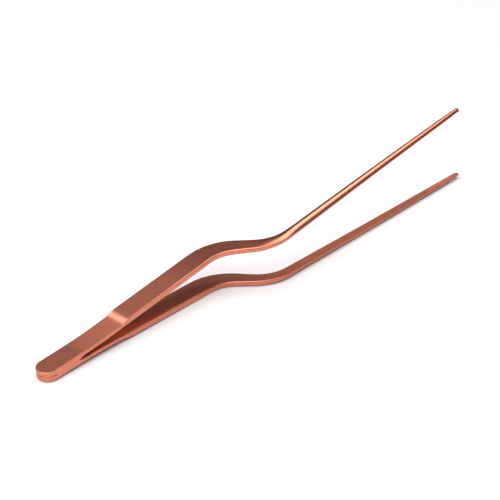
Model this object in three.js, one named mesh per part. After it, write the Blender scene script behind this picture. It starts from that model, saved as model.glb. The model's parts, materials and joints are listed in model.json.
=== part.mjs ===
// Offset precision tweezers. Two mirrored spring-steel arms are edge-welded at the heel, bend apart
// at the slot, and end in long tapered rods set off to one side. Millimetres, +Z up, and +X runs from
// the butt to the tips. The tweezers rest on z = 0 as they lie on a table.
import * as THREE from 'three';

// Plan of one arm, as stations along its centreline
const TOTAL_LENGTH = 254;         // butt to tips
const GRIP_LENGTH = 95;           // straight part, from the butt to the first bend
const BEND_DEGREES = 48.4;        // both bends turn by this much, in opposite directions
const FIRST_BEND_RADIUS = 20.6;
const MIDDLE_LENGTH = 7.8;        // straight stretch between the bends
const SECOND_BEND_RADIUS = 20.5;

// Widths across the arm
const HEEL_WIDTH = 10;
const GRIP_WIDTH = 10.5;
const MIDDLE_WIDTH = 7;
const ROD_ROOT_WIDTH = 5.2;
const TIP_WIDTH = 2.9;

// Thicknesses of one arm
const HEEL_THICKNESS = 2.4;
const SPRING_THICKNESS = 1.6;
const BLADE_THICKNESS = 2.6;
const TIP_THICKNESS = 1.8;
const TIP_INNER_SHARE = 0.3;      // share of the rod's taper taken from its inner face
const ROD_BOW = 1.4;              // the rods curve in towards each other by this much at the tips

// The heel, the slot and the spring section
const SLOT_START = 19;
const SLOT_ROUNDING = 4;          // length of the slot's rounded start
const OPENING_HALF_DEGREES = 4.5; // each arm leans away from the seam by this much
const CURVE_LENGTH = 17;          // the arm bends into that lean over this length
const STEP_START = 44;            // where the outer face ramps up from spring to blade
const STEP_LENGTH = 3;
const FLEX_STATION = 32;          // middle of the spring, where the arm is parted to stand for flexing
const JOIN_GAP = 0.3;             // between pieces that touch
const MIN_STEP = 0.02;            // least distance between two sections

// Edges
const EDGE_CHAMFER = 0.35;
const GROOVE_DEPTH = 1.2;         // V-groove that the edge weld fills
const WELD_START = 5.5;
const WELD_END = 17;
const GROOVE_RUN_OUT = 1;
const ROD_CROWN = 0.3;            // share of the rod's thickness taken by its crowned outer face
const CROWN_POINT = 0.65;         // where the crown's facets meet, as a share of the half width

// How the tweezers lie: on the lower arm's butt, its first bend and its rod, with each taking about a
// third of the weight
const REST_TILT_DEGREES = 3.886;  // the tips' end of the seam plane is raised
const REST_ROLL_DEGREES = 1.006;  // its side away from the rods is lowered

const COPPER = { color: 0xb4705a, roughness: 0.32, metalness: 1.0 };
const COPPER_WELD = { color: 0xa9654f, roughness: 0.38, metalness: 1.0 };

const radians = THREE.MathUtils.degToRad;
const bend = radians(BEND_DEGREES);
const lean = Math.tan(radians(OPENING_HALF_DEGREES));
const middleStart = GRIP_LENGTH + bend * FIRST_BEND_RADIUS;
const secondBend = middleStart + MIDDLE_LENGTH;
const rodStart = secondBend + bend * SECOND_BEND_RADIUS;
const rodStartX = GRIP_LENGTH + (FIRST_BEND_RADIUS + SECOND_BEND_RADIUS) * Math.sin(bend)
  + MIDDLE_LENGTH * Math.cos(bend);
const armLength = rodStart + TOTAL_LENGTH - rodStartX;

// Straight-line interpolation through [station, value] pairs
function along(pairs, station) {
  for (let i = 1; i < pairs.length; i += 1) {
    const [start, before] = pairs[i - 1];
    const [end, after] = pairs[i];
    if (station <= end) {
      return THREE.MathUtils.mapLinear(Math.max(station, start), start, end, before, after);
    }
  }
  return pairs[pairs.length - 1][1];
}

// Point and heading of the centreline in plan
function centreline(station) {
  const stretches = [
    { length: GRIP_LENGTH, turn: 0 },
    { length: bend * FIRST_BEND_RADIUS, turn: -bend },
    { length: MIDDLE_LENGTH, turn: 0 },
    { length: bend * SECOND_BEND_RADIUS, turn: bend },
    { length: armLength - rodStart, turn: 0 },
  ];
  const point = new THREE.Vector2();
  let heading = 0;
  let left = station;
  for (const { length, turn } of stretches) {
    const run = Math.min(left, length);
    const turned = turn * run / length;
    // the chord of an arc points halfway through its turn
    const chord = turned === 0 ? run : 2 * run / turned * Math.sin(turned / 2);
    point.x += chord * Math.cos(heading + turned / 2);
    point.y += chord * Math.sin(heading + turned / 2);
    heading += turned;
    left -= run;
  }
  return { point, heading };
}

// Half the width, with the butt and the tip rounded to half circles
function halfWidth(station) {
  const half = along([
    [0, HEEL_WIDTH], [SLOT_START, HEEL_WIDTH], [GRIP_LENGTH, GRIP_WIDTH],
    [middleStart + MIDDLE_LENGTH / 2, MIDDLE_WIDTH], [rodStart, ROD_ROOT_WIDTH],
    [armLength, TIP_WIDTH],
  ], station) / 2;
  const pastCentre = Math.max(0, half - station, station - armLength + half);
  return Math.sqrt(half * half - pastCentre * pastCentre);
}

// Heights of the inner and outer faces above the seam plane, before the arm leans away from it
function faces(station) {
  if (station < SLOT_START) {
    return { inner: JOIN_GAP / 2, outer: HEEL_THICKNESS };
  }
  const relief = HEEL_THICKNESS - SPRING_THICKNESS;
  const taper = along([[rodStart, 0], [armLength, BLADE_THICKNESS - TIP_THICKNESS]], station);
  const thickness = along([
    [STEP_START, SPRING_THICKNESS], [STEP_START + STEP_LENGTH, BLADE_THICKNESS],
  ], station);
  // the slot starts as a quarter round
  const rounding = Math.min(1, (station - SLOT_START) / SLOT_ROUNDING);
  const opened = Math.sqrt(1 - (1 - rounding) ** 2);
  const bow = ROD_BOW * along([[rodStart, 0], [armLength, 1]], station) ** 2;
  return {
    inner: JOIN_GAP / 2 + (relief - JOIN_GAP / 2) * opened + taper * TIP_INNER_SHARE - bow,
    outer: relief + thickness - taper * (1 - TIP_INNER_SHARE) - bow,
  };
}

// Height gained by leaning away from the seam plane: a parabola over the curve, then a straight line
function leaning(x) {
  const curved = THREE.MathUtils.clamp(x - SLOT_START, 0, CURVE_LENGTH);
  const straight = Math.max(0, x - SLOT_START - CURVE_LENGTH);
  return lean * (curved ** 2 / (2 * CURVE_LENGTH) + straight);
}

// Outline of the arm's section: across the arm, then height above the seam plane
function armSection(station) {
  const half = halfWidth(station);
  const { inner, outer } = faces(station);
  const crown = ROD_CROWN * (outer - inner) * along([[secondBend, 0], [rodStart, 1]], station);
  const chamfer = Math.min(EDGE_CHAMFER, half / 3);
  const groove = along([
    [WELD_START - GROOVE_RUN_OUT - JOIN_GAP, chamfer], [WELD_START - JOIN_GAP, GROOVE_DEPTH],
    [WELD_END + JOIN_GAP, GROOVE_DEPTH], [WELD_END + JOIN_GAP + GROOVE_RUN_OUT, chamfer],
  ], station);
  const shoulder = outer - Math.max(chamfer, crown);
  const flat = along([[secondBend, half - chamfer], [rodStart, half * CROWN_POINT]], station);
  const flatHeight = outer - crown * CROWN_POINT ** 2;
  return [
    [-half + groove, inner], [half - groove, inner], [half, inner + groove], [half, shoulder],
    [flat, flatHeight], [0, outer], [-flat, flatHeight], [-half, shoulder], [-half, inner + groove],
  ];
}

// Triangular weld bead in the V-groove, flush with the heel's long side
function weldSection(edge) {
  const depth = GROOVE_DEPTH - JOIN_GAP * Math.SQRT2;
  return (station) => {
    const flush = halfWidth(station);
    const outline = [[flush - depth, 0], [flush, -depth], [flush, depth]];
    return edge > 0 ? outline : outline.map(([across, height]) => [-across, height]).reverse();
  };
}

// A closed solid through the sections at the given stations, which leans away from the seam past the
// slot's start. side = -1 mirrors it in the seam plane.
function loft(stations, section, side = 1) {
  const positions = [];
  const triangles = [];
  const count = section(stations[0]).length;
  const face = (a, b, c) => triangles.push(...(side > 0 ? [a, b, c] : [a, c, b]));
  for (const station of stations) {
    const { point, heading } = centreline(station);
    for (const [across, height] of section(station)) {
      const x = point.x - Math.sin(heading) * across;
      const y = point.y + Math.cos(heading) * across;
      positions.push(x, y, (height + leaning(x)) * side);
    }
  }
  for (let ring = 0; ring + 1 < stations.length; ring += 1) {
    for (let i = 0; i < count; i += 1) {
      const next = (i + 1) % count;
      const here = ring * count;
      const ahead = here + count;
      face(here + i, here + next, ahead + next);
      face(here + i, ahead + next, ahead + i);
    }
  }
  const last = (stations.length - 1) * count;
  for (let i = 1; i + 1 < count; i += 1) {
    face(0, i + 1, i);
    face(last, last + i, last + i + 1);
  }
  const geometry = new THREE.BufferGeometry();
  geometry.setAttribute('position', new THREE.Float32BufferAttribute(positions, 3));
  geometry.setIndex(triangles);
  geometry.computeVertexNormals();
  return geometry;
}

// Evenly spaced stations from start to end
function spread(start, end, steps) {
  return Array.from({ length: steps + 1 }, (_, i) => start + (end - start) * i / steps);
}

// Stations crowded towards start, as round ends need: 1 - cos over a quarter turn. A negative length
// runs back from start.
function crowded(start, length, steps) {
  return spread(0.1, 1, steps).map((share) => start + length * (1 - Math.cos(share * Math.PI / 2)));
}

function distinct(stations) {
  const sorted = [...stations].sort((a, b) => a - b);
  return sorted.filter((station, i) => i === 0 || station - sorted[i - 1] > MIN_STEP);
}

const heelStations = distinct([
  ...crowded(0, HEEL_WIDTH / 2, 9),
  WELD_START - JOIN_GAP, WELD_START + GROOVE_RUN_OUT, WELD_END + JOIN_GAP,
  WELD_END + JOIN_GAP + GROOVE_RUN_OUT, SLOT_START,
  ...crowded(SLOT_START, SLOT_ROUNDING, 6),
  ...spread(SLOT_START + SLOT_ROUNDING, FLEX_STATION - JOIN_GAP / 2, 3),
]);

const bladeStations = distinct([
  ...spread(FLEX_STATION + JOIN_GAP / 2, SLOT_START + CURVE_LENGTH, 2), STEP_START,
  ...spread(STEP_START + STEP_LENGTH, GRIP_LENGTH, 2),
  ...spread(GRIP_LENGTH, middleStart, 10), ...spread(middleStart, secondBend, 2),
  ...spread(secondBend, rodStart, 10), ...spread(rodStart, armLength - TIP_WIDTH / 2, 10),
  ...crowded(armLength, -TIP_WIDTH / 2, 5),
]);

function mesh(name, geometry, finish) {
  const part = new THREE.Mesh(geometry, new THREE.MeshStandardMaterial(finish));
  part.name = name;
  return part;
}

const tweezers = new THREE.Group();
for (const [name, side] of [['upper', 1], ['lower', -1]]) {
  tweezers.add(mesh(`${name}_heel`, loft(heelStations, armSection, side), COPPER));
  tweezers.add(mesh(`${name}_blade`, loft(bladeStations, armSection, side), COPPER));
}
for (const [name, edge] of [['weld_bead_left', 1], ['weld_bead_right', -1]]) {
  tweezers.add(mesh(name, loft(spread(WELD_START, WELD_END, 2), weldSection(edge)), COPPER_WELD));
}

tweezers.rotation.set(-radians(REST_ROLL_DEGREES), -radians(REST_TILT_DEGREES), 0);

// The origin is under the middle of the whole object's box
const box = new THREE.Box3().setFromObject(tweezers, true);
const middle = box.getCenter(new THREE.Vector3());
tweezers.position.set(-middle.x, -middle.y, -box.min.z);

const object = new THREE.Group();
object.add(tweezers);

export default object;
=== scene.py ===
# %% [markdown]
# # Offset precision tweezers
#
# Two arms of spring steel, mirror images of each other, are welded together along the edges of a
# short heel. Past the heel each arm is ground thin for 25 mm, and that thin stretch is the hinge and
# the spring at once. Then come a thick grip, two opposite bends that set the rods off to one side,
# and a long rod that tapers to a rounded tip. All of it has a copper-coloured coat.
#
# The CAD frame gives the places, the bodies and the joints. This script makes the fine surfaces: each
# arm as one unbroken piece of metal that bends in its spring section, with eased edges, a crowned
# rod, a serrated tip and a finish that is brushed on the faces and polished on the edges.

import json
import math

import bmesh
import bpy
import numpy as np
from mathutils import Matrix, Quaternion, Vector


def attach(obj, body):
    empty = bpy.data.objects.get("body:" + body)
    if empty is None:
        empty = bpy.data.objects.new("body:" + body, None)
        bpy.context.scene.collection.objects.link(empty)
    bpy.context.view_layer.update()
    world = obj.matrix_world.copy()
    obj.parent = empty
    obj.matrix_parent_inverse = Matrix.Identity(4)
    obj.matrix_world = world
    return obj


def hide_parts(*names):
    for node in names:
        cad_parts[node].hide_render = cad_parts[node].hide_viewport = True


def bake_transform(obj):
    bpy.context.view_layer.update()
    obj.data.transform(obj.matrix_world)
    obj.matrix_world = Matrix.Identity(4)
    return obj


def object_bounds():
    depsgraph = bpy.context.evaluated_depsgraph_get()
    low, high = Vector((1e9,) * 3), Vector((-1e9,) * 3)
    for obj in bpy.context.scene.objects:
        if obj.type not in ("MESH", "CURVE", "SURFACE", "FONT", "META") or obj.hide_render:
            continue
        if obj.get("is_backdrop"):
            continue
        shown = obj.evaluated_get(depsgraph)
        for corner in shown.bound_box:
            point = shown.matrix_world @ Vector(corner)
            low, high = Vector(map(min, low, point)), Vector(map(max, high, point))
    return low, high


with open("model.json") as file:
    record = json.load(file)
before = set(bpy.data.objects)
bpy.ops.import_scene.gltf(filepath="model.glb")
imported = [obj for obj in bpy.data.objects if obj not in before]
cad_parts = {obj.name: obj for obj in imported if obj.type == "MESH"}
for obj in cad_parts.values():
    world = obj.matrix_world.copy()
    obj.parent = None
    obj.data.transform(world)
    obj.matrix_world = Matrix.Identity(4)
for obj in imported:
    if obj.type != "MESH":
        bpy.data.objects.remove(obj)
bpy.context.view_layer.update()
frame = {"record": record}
record = frame["record"]

# %% [markdown]
# ## Where the arms are
#
# The easiest way to draw a mirrored pair is to draw one arm above a flat seam plane and mirror it.
# The real seam plane is tilted, because the tweezers lie on the lower arm's butt, bend and rod. So
# every point is turned and moved into place at the end. The frame gives all of it: the heel's mount
# points along the seam plane's normal, the flexing axes point across it, and the point midway between
# the two axes lies on it, in the middle of the spring sections.

# %% Seam plane from the frame
MM = 0.001
FLEX_STATION = 32 * MM              # middle of the spring sections, measured from the butt

joints = {joint["name"]: joint for joint in record["behaviour"]["joints"]}
heel_mount = next(mount for mount in record["mounts"] if mount["name"] == "heel_face")
seam_normal = np.array(heel_mount["axis"])
seam_left = np.array(joints["upper_arm_flex"]["axis"])
seam_forward = np.cross(seam_left, seam_normal)
flex_middle = np.mean([joint["pos_m"] for joint in joints.values()], axis=0)
butt_point = flex_middle - FLEX_STATION * seam_forward


def to_frame(x, y, z):
    """Seam-plane coordinates to the frame: butt point + x forwards + y to the left + z off the plane."""
    x, y, z = (np.asarray(value, float)[..., None] for value in (x, y, z))
    return butt_point + x * seam_forward + y * seam_left + z * seam_normal


print("butt at", butt_point.round(5), "and the seam plane faces", seam_normal.round(4))

# %% [markdown]
# ## The plan of one arm
#
# Seen from above, an arm is a straight grip, an arc to the right, a short straight, an arc back to
# the left and a long straight rod. Instead of placing each arc by hand, the heading is written as a
# function of the distance along the arm: flat, falling, flat, rising, flat. Adding up small steps in
# that heading gives the centreline, and arcs come out of it by themselves.

# %% Centreline
TOTAL_LENGTH = 254 * MM
GRIP_LENGTH = 95 * MM
BEND = math.radians(48.4)
FIRST_BEND_RADIUS = 20.6 * MM
MIDDLE_LENGTH = 7.8 * MM
SECOND_BEND_RADIUS = 20.5 * MM
END_EASE = 0.06 * MM                # polishing takes this much off both ends
STEP = 0.05 * MM                    # spacing of the tables below
SOFT_BEND = 5 * MM                  # length that the corners of the heading are rounded over

middle_start = GRIP_LENGTH + BEND * FIRST_BEND_RADIUS
second_bend = middle_start + MIDDLE_LENGTH
rod_start = second_bend + BEND * SECOND_BEND_RADIUS
rod_start_x = (GRIP_LENGTH + (FIRST_BEND_RADIUS + SECOND_BEND_RADIUS) * math.sin(BEND)
               + MIDDLE_LENGTH * math.cos(BEND))
arm_length = rod_start + TOTAL_LENGTH - rod_start_x

stations = np.arange(0, arm_length + STEP, STEP)


def soften(table, length):
    """A table with its corners rounded: each value becomes a bell-weighted mean over the length."""
    count = int(length / STEP) | 1
    bell = np.hanning(count + 2)[1:-1]
    padded = np.pad(table, count // 2, mode="reflect", reflect_type="odd")
    return np.convolve(padded, bell / bell.sum(), mode="valid")


heading_table = soften(np.interp(stations, [GRIP_LENGTH, middle_start, second_bend, rod_start],
                                 [0, -BEND, -BEND, 0]), SOFT_BEND)
x_table = np.concatenate([[0], np.cumsum(np.cos(heading_table[1:]) * STEP)])
y_table = np.concatenate([[0], np.cumsum(np.sin(heading_table[1:]) * STEP)])

# rounding the corners shifts the ends a little, so both tables are brought back to the exact sizes
set_off = ((FIRST_BEND_RADIUS + SECOND_BEND_RADIUS) * (1 - math.cos(BEND))
           + MIDDLE_LENGTH * math.sin(BEND))
x_table = END_EASE + x_table * (TOTAL_LENGTH - 2 * END_EASE) / x_table[-1]
y_table = -y_table * set_off / y_table[-1]
print(f"arm {arm_length * 1000:.1f} mm along its centreline, set off by {-y_table[-1] * 1000:.1f} mm")

# %% [markdown]
# ## Widths and thicknesses
#
# Tables over the same stations hold the half width, the two faces and the roundness of the outer
# face. A maker grinds these by eye, so their corners are soft. Only the slot's start is a crisp
# quarter round.

# %% Profiles along the arm
HEEL_THICKNESS = 2.4 * MM
SPRING_THICKNESS = 1.6 * MM
BLADE_THICKNESS = 2.6 * MM
TIP_THICKNESS = 1.8 * MM
TIP_INNER_SHARE = 0.3               # share of the rod's taper taken from its inner face
ROD_BOW = 1.4 * MM                  # the rods curve in towards each other by this much
ROD_CROWN = 1.6 * MM                # how far the rod's outer face falls from its middle to its edge
CROWN_FULL = 6 * MM                 # the crown is full this far past the rod's start
TIP_CROWN_SHARE = 0.62              # share of the crown that is left at the tip
SLOT_START = 19 * MM
SLOT_ROUNDING = 4 * MM
OPENING_HALF = math.radians(4.5)    # each arm leans away from the seam by this much
CURVE_LENGTH = 17 * MM              # the arm bends into that lean over this length
STEP_START = 44 * MM                # the ramp from the spring up to the grip
STEP_LENGTH = 3 * MM
STEP_LEAD = 0.7 * MM                # finishing starts the ramp this much early
SEAM_GAP = 0.1 * MM                 # width of the seam between the two heels
QUICK_TAPER = 16 * MM               # the rod narrows faster over this last length
POLISHED_OFF = 0.012 * MM           # finishing takes this much off every outer surface
SOFT_WIDTH = 14 * MM                # lengths that the corners of three tables are rounded over
SOFT_STEP = 5.4 * MM
SOFT_CROWN = 10 * MM

relief = HEEL_THICKNESS - SPRING_THICKNESS
width_stations = [SLOT_START, GRIP_LENGTH, middle_start + MIDDLE_LENGTH / 2, rod_start,
                  arm_length - QUICK_TAPER, arm_length]
widths = np.array([10, 10.5, 7, 5.2, 3.1, 2.4]) * MM
half_width_table = soften(np.interp(stations, width_stations, widths / 2), SOFT_WIDTH) - POLISHED_OFF
rod_share = np.interp(stations, [rod_start, arm_length], [0, 1])
taper_table = (BLADE_THICKNESS - TIP_THICKNESS) * rod_share
bow_table = ROD_BOW * rod_share ** 2
thickness_table = soften(np.interp(stations, [STEP_START - STEP_LEAD, STEP_START + STEP_LENGTH],
                                   [SPRING_THICKNESS, BLADE_THICKNESS]), SOFT_STEP)
opened = np.clip((stations - SLOT_START) / SLOT_ROUNDING, 0, 1)
inner_table = (SEAM_GAP / 2 + relief * np.sqrt(1 - (1 - opened) ** 2)
               + taper_table * TIP_INNER_SHARE - bow_table)
outer_table = (relief + thickness_table - taper_table * (1 - TIP_INNER_SHARE) - bow_table
               - POLISHED_OFF)
crown_stations = [second_bend, rod_start + CROWN_FULL, arm_length]
crown_table = ROD_CROWN * soften(np.interp(stations, crown_stations, [0, 1, TIP_CROWN_SHARE]),
                                 SOFT_CROWN)
lean_slope = math.tan(OPENING_HALF) * np.clip((stations - SLOT_START) / CURVE_LENGTH, 0, 1)
lean_table = np.concatenate([[0], np.cumsum(lean_slope[1:] * STEP)])


def look_up(table, station):
    """The table's value at each station, by straight-line interpolation."""
    return np.interp(station, stations, table)


print(f"half width {half_width_table.min() * 1000:.2f} to {half_width_table.max() * 1000:.2f} mm")

# %% [markdown]
# ## One arm as a surface
#
# An arm could be cut from a block with booleans, but the edges need an even, soft roundness that runs
# round the butt and the tip without a break. So the surface is a grid of two parameters. One runs
# round the whole outline of the arm: up its left side, round the tip, down its right side and round
# the butt. The other runs across the edge: from the middle of the outer face, over the eased edge,
# down the side, round the inner edge and back to the middle of the inner face.

# %% Grid of the outline
BUTT_ARC_STEPS = 40
TIP_ARC_STEPS = 20
TIP_RADIUS = 1.22 * MM
SERRATED = 24 * MM                  # length of the serrated inner face at the tip
TOOTH_PITCH = 1 * MM

heel_radius = half_width_table[0]
tip_centre = arm_length - TIP_RADIUS
serration_start = arm_length - SERRATED


def stretch(start, end, spacing):
    """Even stations from start up to, but not including, end."""
    return np.linspace(start, end, max(2, round((end - start) / spacing)), endpoint=False)


# points lie closer together at the slot's start, the ramp, the bends and the teeth
side = np.concatenate([
    stretch(heel_radius, SLOT_START - 2 * MM, 0.6 * MM),
    stretch(SLOT_START - 2 * MM, SLOT_START + 5 * MM, 0.12 * MM),
    stretch(SLOT_START + 5 * MM, STEP_START - 3 * MM, 0.8 * MM),
    stretch(STEP_START - 3 * MM, STEP_START + STEP_LENGTH + 3 * MM, 0.15 * MM),
    stretch(STEP_START + STEP_LENGTH + 3 * MM, GRIP_LENGTH - 4 * MM, 1 * MM),
    stretch(GRIP_LENGTH - 4 * MM, rod_start + 4 * MM, 0.5 * MM),
    stretch(rod_start + 4 * MM, serration_start - 2 * MM, 1 * MM),
    stretch(serration_start - 2 * MM, tip_centre, TOOTH_PITCH / 10),
])
tip_turn = np.linspace(0, np.pi, TIP_ARC_STEPS + 1)
butt_turn = np.linspace(np.pi, 2 * np.pi, BUTT_ARC_STEPS + 1)[1:-1]

# each outline point: the spine station it belongs to, and the turn of its outward direction from left
spine_station = np.concatenate([side, np.full(tip_turn.size, tip_centre), side[::-1],
                                np.full(butt_turn.size, heel_radius)])
outward_turn = np.concatenate([np.zeros(side.size), tip_turn, np.full(side.size, np.pi), butt_turn])
print(f"{spine_station.size} points round the outline")

# %% [markdown]
# The second parameter is a profile: a slightly crowned face, an arc that starts with the crown's own
# slope so that no crease shows, a flat side, a second arc and the flat inner face.

# %% Profile across the edge
FACE_SHARES = np.array([0, 0.25, 0.5, 0.7, 0.85, 0.94, 0.985])     # shares of the way to the edge
ARC_SHARES = np.linspace(0, 1, 8)
SIDE_SHARES = np.array([0.06, 0.5, 0.94])                          # shares of the way down the side


def profile(half, outer, inner, crown, radius):
    """Distances out from the spine and heights, one row for each outline point.

    The outer face falls by crown times the square of the distance over the half width. It meets an
    arc whose first slope is the face's last. The side is straight, the inner edge is a quarter arc,
    and the inner face is flat.
    """
    column = [np.asarray(a)[:, None] for a in (half, outer, inner, crown, radius)]
    half, outer, inner, crown, radius = column
    slope = np.arctan(2 * crown / half)
    face_end = half - radius * (1 - np.sin(slope))
    face_out = face_end * FACE_SHARES
    face_height = outer - crown * (face_out / half) ** 2
    end_height = outer - crown * (face_end / half) ** 2
    turn = slope + (np.pi / 2 - slope) * ARC_SHARES
    arc_out = face_end + radius * (np.sin(turn) - np.sin(slope))
    arc_height = end_height - radius * (np.cos(slope) - np.cos(turn))
    side_height = arc_height[:, -1:] + (inner + radius - arc_height[:, -1:]) * SIDE_SHARES
    side_out = half + 0 * side_height
    back_turn = np.pi / 2 * ARC_SHARES
    back_out = half - radius * (1 - np.cos(back_turn))
    back_height = inner + radius * (1 - np.sin(back_turn))
    inner_out = (half - radius) * FACE_SHARES[::-1]
    inner_height = inner + 0 * inner_out
    out = np.hstack([face_out, arc_out, side_out, back_out, inner_out])
    height = np.hstack([face_height, arc_height, side_height, back_height, inner_height])
    return out, height


face_count = FACE_SHARES.size
profile_count = 2 * face_count + 2 * ARC_SHARES.size + SIDE_SHARES.size
print(f"{profile_count} points across the edge")

# %% [markdown]
# Heights are looked up at each point's own place along the arm, so the rounded ends take the right
# thickness, and the teeth on the inner face of the tip run straight across it.

# %% Serrated inner tips
TOOTH_DEPTH = 0.14 * MM
TOOTH_SIDE_FADE = 0.3 * MM          # the teeth run out over this width at the arm's edges
TOOTH_END_MARGIN = 0.5 * MM         # and leave this much of the tip plain


def teeth(station, out, half):
    """Depth of the serration: a cosine wave that fades in, and fades out at the tip and the edges."""
    wave = 0.5 - 0.5 * np.cos(2 * np.pi * (station - serration_start) / TOOTH_PITCH)
    fade = (np.clip((station - serration_start) / (2 * TOOTH_PITCH), 0, 1)
            * np.clip((arm_length - TOOTH_END_MARGIN - station) / TOOTH_PITCH, 0, 1))
    return TOOTH_DEPTH * wave * fade * np.clip((half - out) / TOOTH_SIDE_FADE, 0, 1)


print(f"{round(SERRATED / TOOTH_PITCH)} teeth on each tip, {TOOTH_DEPTH * 1000:.2f} mm deep")

# %% Points of the arm
EDGE_RADIUS = 0.3 * MM              # on the heel and the spring
BEND_EDGE_RADIUS = 0.6 * MM         # on the bends, where the edge is rubbed rounder
ROD_EDGE_RADIUS = 0.35 * MM
ROD_EDGE_SETTLED = 20 * MM          # reached this far past the rod's start
NOSE_LENGTH = 1.6 * MM              # the outer face falls away over this length at the very tip
NOSE_DROP = 0.45 * MM


def arm_points(side_sign):
    """All the arm's points in the frame, with their station and their distance left of the spine."""
    half = look_up(half_width_table, spine_station)
    half = np.where(spine_station >= tip_centre, TIP_RADIUS, half)
    radius = np.interp(
        spine_station, [STEP_START, GRIP_LENGTH, second_bend, rod_start + ROD_EDGE_SETTLED],
        [EDGE_RADIUS, BEND_EDGE_RADIUS, BEND_EDGE_RADIUS, ROD_EDGE_RADIUS])
    outer = look_up(outer_table, spine_station)
    inner = look_up(inner_table, spine_station)
    crown = look_up(crown_table, spine_station)
    out, height = profile(half, outer, inner, crown, radius)

    ahead = out * np.sin(outward_turn)[:, None]
    left = out * np.cos(outward_turn)[:, None]
    station = spine_station[:, None] + ahead
    nose = np.clip((station - (arm_length - NOSE_LENGTH)) / NOSE_LENGTH, 0, 1) ** 2
    share = np.clip((height - inner[:, None]) / (outer - inner)[:, None], 0, 1)
    height = height - NOSE_DROP * nose * share
    on_inner_face = np.arange(profile_count) >= profile_count - face_count
    height = height + teeth(station, out, half[:, None]) * on_inner_face

    heading = look_up(heading_table, spine_station)[:, None]
    x = look_up(x_table, spine_station)[:, None] + ahead * np.cos(heading) - left * np.sin(heading)
    y = look_up(y_table, spine_station)[:, None] + ahead * np.sin(heading) + left * np.cos(heading)
    height = height + look_up(lean_table, x)
    return to_frame(x, y, side_sign * height), station, left


# %% [markdown]
# The grid becomes a mesh with one quad between each four neighbours. Both halves of the outline end
# on the spine, so their last points coincide there and are merged, which closes the solid. A UV map
# holds the distance along the arm and the distance across it, in metres, for the brushed finish.

# %% Mesh helpers
MERGE_DISTANCE = 2e-7               # metres, far below the spacing of the points


def grid_faces(rows, columns, closed_rows):
    """Quads between neighbours of a grid of points numbered row by row."""
    row = np.arange(rows if closed_rows else rows - 1)[:, None]
    column = np.arange(columns - 1)[None, :]
    ahead = (row + 1) % rows
    corners = [row * columns + column, ahead * columns + column,
               ahead * columns + column + 1, row * columns + column + 1]
    return np.stack(np.broadcast_arrays(*corners), axis=-1).reshape(-1, 4)


def faces_per_edge(mesh):
    """How many faces each edge of the mesh has, which is 2 everywhere on a closed mesh."""
    edge_of_loop = np.empty(len(mesh.loops), int)
    mesh.loops.foreach_get("edge_index", edge_of_loop)
    return np.bincount(edge_of_loop, minlength=len(mesh.edges))


def make_piece(name, points, faces, uv, values):
    """A smooth-shaded, closed mesh object from points and quads, with merged doubles."""
    mesh = bpy.data.meshes.new(name)
    mesh.from_pydata(points.reshape(-1, 3).tolist(), [], faces.tolist())
    layer = mesh.uv_layers.new(name="along_across")
    layer.data.foreach_set("uv", uv.reshape(-1, 2)[faces.ravel()].astype(np.float32).ravel())
    for label, value in values.items():
        attribute = mesh.attributes.new(label, "FLOAT", "POINT")
        attribute.data.foreach_set("value", value.astype(np.float32).ravel())
    work = bmesh.new()
    work.from_mesh(mesh)
    bmesh.ops.remove_doubles(work, verts=work.verts, dist=MERGE_DISTANCE)
    bmesh.ops.recalc_face_normals(work, faces=work.faces)
    work.to_mesh(mesh)
    work.free()
    mesh.shade_smooth()
    piece = bpy.data.objects.new(name, mesh)
    bpy.context.collection.objects.link(piece)
    open_edges = np.count_nonzero(faces_per_edge(mesh) != 2)
    print(f"{name}: {len(mesh.polygons)} faces, {open_edges} open edges")
    return piece


# %% [markdown]
# ## Two arms and their finish
#
# A maker grinds the spring across, brushes the faces, and polishes the edges, the ramp and the rods on
# a wheel. Two numbers at each point carry that to the material. The attribute polish is 1 where the
# wheel has worked, on the edges and sides, the ramp and the outer faces of the rods, and 0 on the
# brushed faces. It fades the scratches out. The attribute finish is the roughness itself: lowest
# where it is polished, higher on the brushed faces, higher still on the ground spring and highest
# inside the rods, where a wheel can't reach. The outer faces of the bends, where fingers rub, are
# nearly as smooth as the edges.

# %% Two arms
BRUSHED_ROUGHNESS = 0.38
POLISHED_ROUGHNESS = 0.29
SPRING_EXTRA = 0.04                 # the ground spring section is rougher than the brushed faces
INNER_ROD_EXTRA = 0.12              # and the inner faces of the rods are the roughest
BEND_LESS = 0.07                    # the outer faces of the bends are rubbed smoother than the grip
EDGE_FADE_COLUMNS = 3               # the polish fades in over this many columns of points

# each pair is the station where a change starts and the length that it takes
RAMP_BEGINS = (STEP_START - 1.5 * MM, 1 * MM)
RAMP_ENDS = (STEP_START + STEP_LENGTH - 1 * MM, 3 * MM)
SPRING_BEGINS = (SLOT_START, 4 * MM)
SPRING_ENDS = (STEP_START - 1 * MM, 1 * MM)
BENDS_BEGIN = (GRIP_LENGTH - 20 * MM, 25 * MM)
ROD_BEGINS = (second_bend, rod_start - second_bend)
INNER_ROD_BEGINS = (middle_start, 35 * MM)


def fade_in(station, start, length):
    """A share that is 0 up to the start and rises evenly to 1 over the length."""
    return np.clip((station - start) / length, 0, 1)


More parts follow.
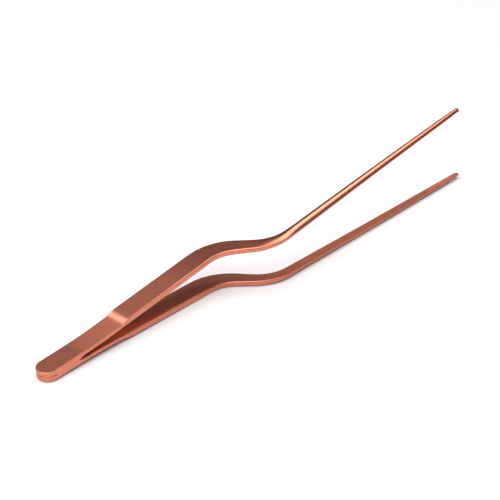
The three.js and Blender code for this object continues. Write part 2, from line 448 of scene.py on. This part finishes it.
def make_arm(name, side_sign):
    """One arm, mirrored in the seam plane where side_sign is -1."""
    points, station, left = arm_points(side_sign)
    faces = grid_faces(*station.shape, closed_rows=True)
    column = np.arange(profile_count)
    first_edge, last_edge = face_count, profile_count - face_count - 1
    on_edge = np.clip(np.minimum(column - first_edge, last_edge - column) / EDGE_FADE_COLUMNS, 0, 1)
    outer_side = column < first_edge
    ramp = fade_in(station, *RAMP_BEGINS) * (1 - fade_in(station, *RAMP_ENDS))
    rod = fade_in(station, *ROD_BEGINS)
    polish = np.maximum(on_edge, np.maximum(ramp, rod) * outer_side)
    ground = fade_in(station, *SPRING_BEGINS) * (1 - fade_in(station, *SPRING_ENDS))
    inner_rod = fade_in(station, *INNER_ROD_BEGINS) * ~outer_side
    bent = fade_in(station, *BENDS_BEGIN) * outer_side
    unpolished = (BRUSHED_ROUGHNESS - POLISHED_ROUGHNESS + SPRING_EXTRA * ground
                  + INNER_ROD_EXTRA * inner_rod - BEND_LESS * bent)
    finish = POLISHED_ROUGHNESS + unpolished * (1 - polish)
    uv = np.stack([station, left], axis=-1)
    return make_piece(name, points, faces, uv, {"polish": polish, "finish": finish})


arms = {"upper": make_arm("arm_upper", 1), "lower": make_arm("arm_lower", -1)}

# %% [markdown]
# ## Edge welds
#
# A bead along each side of the heel holds the arms together. It is run along the seam and ground flush
# afterwards, so all that shows is a long thin strip with rounded ends. It could be a box with a bevel,
# but a bead is really a drawn-out drop, so it is an oval tube that swells quickly from a point at each
# end, cut flat a hair outside the heel's side.

# %% Edge welds
WELD_START = 5.5 * MM
WELD_END = 18.2 * MM
WELD_HEIGHT = 0.42 * MM             # half of the bead's height
WELD_DEPTH = 0.5 * MM
WELD_PROUD = 0.006 * MM             # grinding leaves this much outside the heel's side


def make_weld(name, edge):
    """A weld bead: an oval tube along the heel's side, ground flat where it would stand proud."""
    along = np.linspace(0, 1, 60)[:, None]
    around = np.linspace(0, 2 * np.pi, 33)[None, :]
    station = WELD_START + (WELD_END - WELD_START) * (0.5 - 0.5 * np.cos(np.pi * along))
    swell = np.sqrt(np.clip(1 - (2 * along - 1) ** 8, 0, 1))
    flush = look_up(half_width_table, station) + WELD_PROUD
    out = np.minimum(flush - WELD_DEPTH / 2 + WELD_DEPTH * swell * np.cos(around), flush)
    height = WELD_HEIGHT * swell * np.sin(around)
    x = station + 0 * around
    points = to_frame(x, edge * (out + 0 * x), height + 0 * x)
    uv = np.stack([x, height + 0 * x], axis=-1)
    return make_piece(name, points, grid_faces(*x.shape, closed_rows=False), uv,
                      {"polish": np.ones(x.shape), "finish": np.full(x.shape, POLISHED_ROUGHNESS)})


welds = {"left": make_weld("weld_left", 1), "right": make_weld("weld_right", -1)}

# %% [markdown]
# ## Finish
#
# The coat is a thin hard layer on brushed steel, so it is all metal: no diffuse colour, only
# reflections tinted copper. Brushing leaves fine scratches straight across the arm. They are noise
# that is stretched along them, read from the UV map so that it turns with the bends. The same
# scratches drive the roughness, the bump and a little of the colour.

# %% Node helpers
def add_node(tree, kind, **settings):
    """A new node with its properties set."""
    node = tree.nodes.new(kind)
    for key, value in settings.items():
        setattr(node, key, value)
    return node


def math_node(tree, operation, first, second, clamp=False):
    """A Math node's output. Each of its two inputs is a number or another node's output."""
    node = add_node(tree, "ShaderNodeMath", operation=operation, use_clamp=clamp)
    for socket, value in zip(node.inputs, (first, second)):
        if isinstance(value, bpy.types.NodeSocket):
            tree.links.new(value, socket)
        else:
            socket.default_value = value
    return node.outputs[0]


def new_group(name, inputs, outputs):
    """An empty shader node group with named sockets, each given as (name, kind)."""
    group = bpy.data.node_groups.new(name, "ShaderNodeTree")
    for label, kind in inputs:
        group.interface.new_socket(label, in_out="INPUT", socket_type=kind)
    for label, kind in outputs:
        group.interface.new_socket(label, in_out="OUTPUT", socket_type=kind)
    return group, group.nodes.new("NodeGroupInput"), group.nodes.new("NodeGroupOutput")


# %% Scratches as a node group
# noise cells in a metre, along and across the arm
FINE_SCRATCHES = (4000, 120)
COARSE_SCRATCHES = (1100, 70)
SMUDGES = (90, 140)
SCRATCH_DETAIL = 2
SMUDGE_DETAIL = 3
NOISE_ROUGHNESS = 0.6


def stretched_noise(tree, vector, scales, detail):
    """Noise with its own scale along and across the arm, from 0 to 1."""
    mapping = add_node(tree, "ShaderNodeMapping")
    mapping.inputs["Scale"].default_value = (*scales, 1)
    noise = add_node(tree, "ShaderNodeTexNoise", noise_dimensions="2D")
    noise.inputs["Scale"].default_value = 1
    noise.inputs["Detail"].default_value = detail
    noise.inputs["Roughness"].default_value = NOISE_ROUGHNESS
    tree.links.new(vector, mapping.inputs["Vector"])
    tree.links.new(mapping.outputs[0], noise.inputs["Vector"])
    return noise.outputs["Fac"]


def scratches_group():
    """Fine and coarse scratches across the arm, and soft smudges from handling."""
    group, into, out = new_group(
        "brushed_across", [("Vector", "NodeSocketVector")],
        [("Fine", "NodeSocketFloat"), ("Coarse", "NodeSocketFloat"), ("Smudge", "NodeSocketFloat")])
    vector = into.outputs["Vector"]
    fine = stretched_noise(group, vector, FINE_SCRATCHES, SCRATCH_DETAIL)
    coarse = stretched_noise(group, vector, COARSE_SCRATCHES, SCRATCH_DETAIL)
    smudge = stretched_noise(group, vector, SMUDGES, SMUDGE_DETAIL)
    for value, label in ((fine, "Fine"), (coarse, "Coarse"), (smudge, "Smudge")):
        group.links.new(value, out.inputs[label])
    return group


brushed_across = scratches_group()
print("node group:", brushed_across.name)

# %% Copper coat
COAT_COLOUR = (0.68, 0.238, 0.155, 1)
COAT_DEEP = (0.54, 0.178, 0.112, 1)     # at the bottom of scratches and under smudges
FINE_SHARE = 0.35                       # share of the fine scratches, against the coarse ones
DEEP_BY_SCRATCH = 3.0                   # how strongly each pattern moves the colour and roughness
DEEP_BY_SMUDGE = 0.7
ROUGH_BY_SCRATCH = 0.08
ROUGH_BY_SMUDGE = 0.03
BUMP_STRENGTH = 0.35
SCRATCH_DEPTH = 0.003 * MM


def copper_material(name):
    """Copper coat: roughness from the finish attribute, scratched where the polish attribute is 0."""
    material = bpy.data.materials.new(name)
    material.use_nodes = True
    tree = material.node_tree
    shader = tree.nodes["Principled BSDF"]
    shader.inputs["Metallic"].default_value = 1.0
    uv = add_node(tree, "ShaderNodeUVMap", uv_map="along_across").outputs["UV"]
    scratches = add_node(tree, "ShaderNodeGroup", node_tree=brushed_across)
    tree.links.new(uv, scratches.inputs["Vector"])
    fine, coarse, smudge = scratches.outputs
    polish = add_node(tree, "ShaderNodeAttribute", attribute_name="polish").outputs["Fac"]
    brushed = math_node(tree, "SUBTRACT", 1.0, polish)

    grain = math_node(tree, "ADD", math_node(tree, "MULTIPLY", fine, FINE_SHARE),
                      math_node(tree, "MULTIPLY", coarse, 1 - FINE_SHARE))
    contrast = math_node(tree, "MULTIPLY", math_node(tree, "SUBTRACT", grain, 0.5), brushed)

    tint = add_node(tree, "ShaderNodeMix", data_type="RGBA")
    tint.inputs["A"].default_value = COAT_COLOUR
    tint.inputs["B"].default_value = COAT_DEEP
    amount = math_node(tree, "ADD", math_node(tree, "MULTIPLY", contrast, DEEP_BY_SCRATCH),
                       math_node(tree, "MULTIPLY", smudge, DEEP_BY_SMUDGE), clamp=True)
    tree.links.new(amount, tint.inputs["Factor"])
    tree.links.new(tint.outputs["Result"], shader.inputs["Base Color"])

    finish = add_node(tree, "ShaderNodeAttribute", attribute_name="finish").outputs["Fac"]
    smudged = math_node(tree, "ADD", finish, math_node(tree, "MULTIPLY", smudge, ROUGH_BY_SMUDGE))
    rough = math_node(tree, "ADD", smudged, math_node(tree, "MULTIPLY", contrast, ROUGH_BY_SCRATCH),
                      clamp=True)
    tree.links.new(rough, shader.inputs["Roughness"])

    bump = add_node(tree, "ShaderNodeBump")
    bump.inputs["Strength"].default_value = BUMP_STRENGTH
    bump.inputs["Distance"].default_value = SCRATCH_DEPTH
    tree.links.new(contrast, bump.inputs["Height"])
    tree.links.new(bump.outputs["Normal"], shader.inputs["Normal"])
    return material


copper_coat = copper_material("copper_coat")
for piece in (*arms.values(), *welds.values()):
    piece.data.materials.append(copper_coat)
print(f"{copper_coat.name}: {len(copper_coat.node_tree.nodes)} nodes")

# %% [markdown]
# ## Bodies
#
# Each arm is one piece of steel that crosses its flexing joint. On the real tweezers the heel stays with
# the welded heel, the blade turns and the thin spring section bends in between. Here each arm's
# placement is baked into its points, it is attached to no body, and the CAD heel and blade that it
# replaces are hidden. The welds ride on the heel's body.

# %% Bodies and replaced nodes
for level, arm in arms.items():
    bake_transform(arm)
    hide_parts(f"{level}_heel", f"{level}_blade")
for end, weld in welds.items():
    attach(weld, "heel")
    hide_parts(f"weld_bead_{end}")
print("blended:", [arm.name for arm in arms.values()], "riding on the heel:",
      [weld.name for weld in welds.values()])

# %% [markdown]
# ## Stage, light and camera
#
# Polished metal shows the room more than itself, so the room is designed first. The floor is one pale
# sheet, large enough to fill the main view. It lies a hair below the part, so that the two surfaces
# don't share a plane, where they would flicker.

# %% Floor
FLOOR_SIZE = 6
FLOOR_GAP = 0.05 * MM

lowest, highest = (np.array(corner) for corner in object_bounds())
corner_signs = np.array([(-1, -1), (1, -1), (1, 1), (-1, 1)])
floor_points = np.column_stack([corner_signs * FLOOR_SIZE / 2, np.full(4, lowest[2] - FLOOR_GAP)])
floor_mesh = bpy.data.meshes.new("floor")
floor_mesh.from_pydata(floor_points.tolist(), [], [(0, 1, 2, 3)])
floor = bpy.data.objects.new("floor", floor_mesh)
bpy.context.collection.objects.link(floor)
floor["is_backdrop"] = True

paper = bpy.data.materials.new("white_paper")
paper.use_nodes = True
paper_shader = paper.node_tree.nodes["Principled BSDF"]
paper_shader.inputs["Base Color"].default_value = (0.75, 0.75, 0.75, 1)
paper_shader.inputs["Roughness"].default_value = 0.9
floor_mesh.materials.append(paper)
print(f"floor {FLOOR_SIZE} m square at z = {floor_points[0, 2] * 1000:.3f} mm")

# %% [markdown]
# The light is a ceiling of three softboxes. A wide, dim one fills the grip and the heel. Two brighter
# strips lie only where the ramp and the crowns of the rods look, and give them their highlights. The
# ceiling is laid out by the corners of each box, and each is given by how bright it looks. A lamp's
# power follows from that, because a box of twice the area needs twice the power to look the same. The
# world is a dark grey, so that the insides of the arms stay dark. The price is a grey strip past the
# floor's far edge when the camera is low.

# %% Lights
LIGHT_HEIGHT = 1.1
WATTS_PER_RADIANCE = 4              # an area light's watts are 4 times its radiance times its area

centre = (lowest + highest) / 2


def ceiling_box(name, low_corner, high_corner, radiance):
    """A softbox that faces straight down from LIGHT_HEIGHT, given by two corners on the ceiling."""
    size = np.subtract(high_corner, low_corner)
    middle = np.add(high_corner, low_corner) / 2
    data = bpy.data.lights.new(name, "AREA")
    data.shape = "RECTANGLE"
    data.size, data.size_y = size.tolist()
    data.energy = WATTS_PER_RADIANCE * radiance * size.prod()
    light = bpy.data.objects.new(name, data)
    light.location = (centre[0] + middle[0], centre[1] + middle[1], LIGHT_HEIGHT)
    light.rotation_euler = Vector((0, 0, -1)).to_track_quat("-Z", "Y").to_euler()
    bpy.context.collection.objects.link(light)
    print(f"{name}: {data.energy:.1f} W over {size[0]:.2f} x {size[1]:.2f} m")


ceiling_box("overhead", (-2.20, -1.10), (0.12, 0.62), 2.3)
ceiling_box("back_strip", (-0.90, 0.62), (0.02, 1.00), 4.0)
ceiling_box("front_strip", (0.35, -0.50), (0.85, 0.38), 3.7)

world = bpy.data.worlds.new("studio")
bpy.context.scene.world = world
world.use_nodes = True
background = world.node_tree.nodes["Background"]
background.inputs["Color"].default_value = (0.1, 0.1, 0.1, 1)
background.inputs["Strength"].default_value = 1

# %% [markdown]
# The camera stands well back with a long lens, so the two arms keep nearly the same scale. It is placed
# by two angles and a distance from the point that it looks at, and turned a touch about its own axis.

# %% Camera
CAMERA_AZIMUTH = math.radians(-47.287)
CAMERA_ELEVATION = math.radians(31.623)
CAMERA_ROLL = math.radians(0.484)
CAMERA_DISTANCE = 0.8852
CAMERA_LENS = 139
CAMERA_AIM = Vector((0.0091, 0.0169, -0.0011))

camera_data = bpy.data.cameras.new("camera")
camera_data.lens = CAMERA_LENS
camera_data.sensor_width = 36
camera = bpy.data.objects.new("camera", camera_data)
bpy.context.collection.objects.link(camera)
looking = Vector((-math.sin(CAMERA_AZIMUTH) * math.cos(CAMERA_ELEVATION),
                  math.cos(CAMERA_AZIMUTH) * math.cos(CAMERA_ELEVATION),
                  -math.sin(CAMERA_ELEVATION)))
camera.location = CAMERA_AIM - looking * CAMERA_DISTANCE
camera.rotation_mode = "QUATERNION"
camera.rotation_quaternion = (looking.to_track_quat("-Z", "Y")
                              @ Quaternion((0, 0, 1), CAMERA_ROLL))
bpy.context.scene.camera = camera
bpy.context.scene.view_settings.view_transform = "Standard"
print("camera at", [round(value, 4) for value in camera.location], "metres")
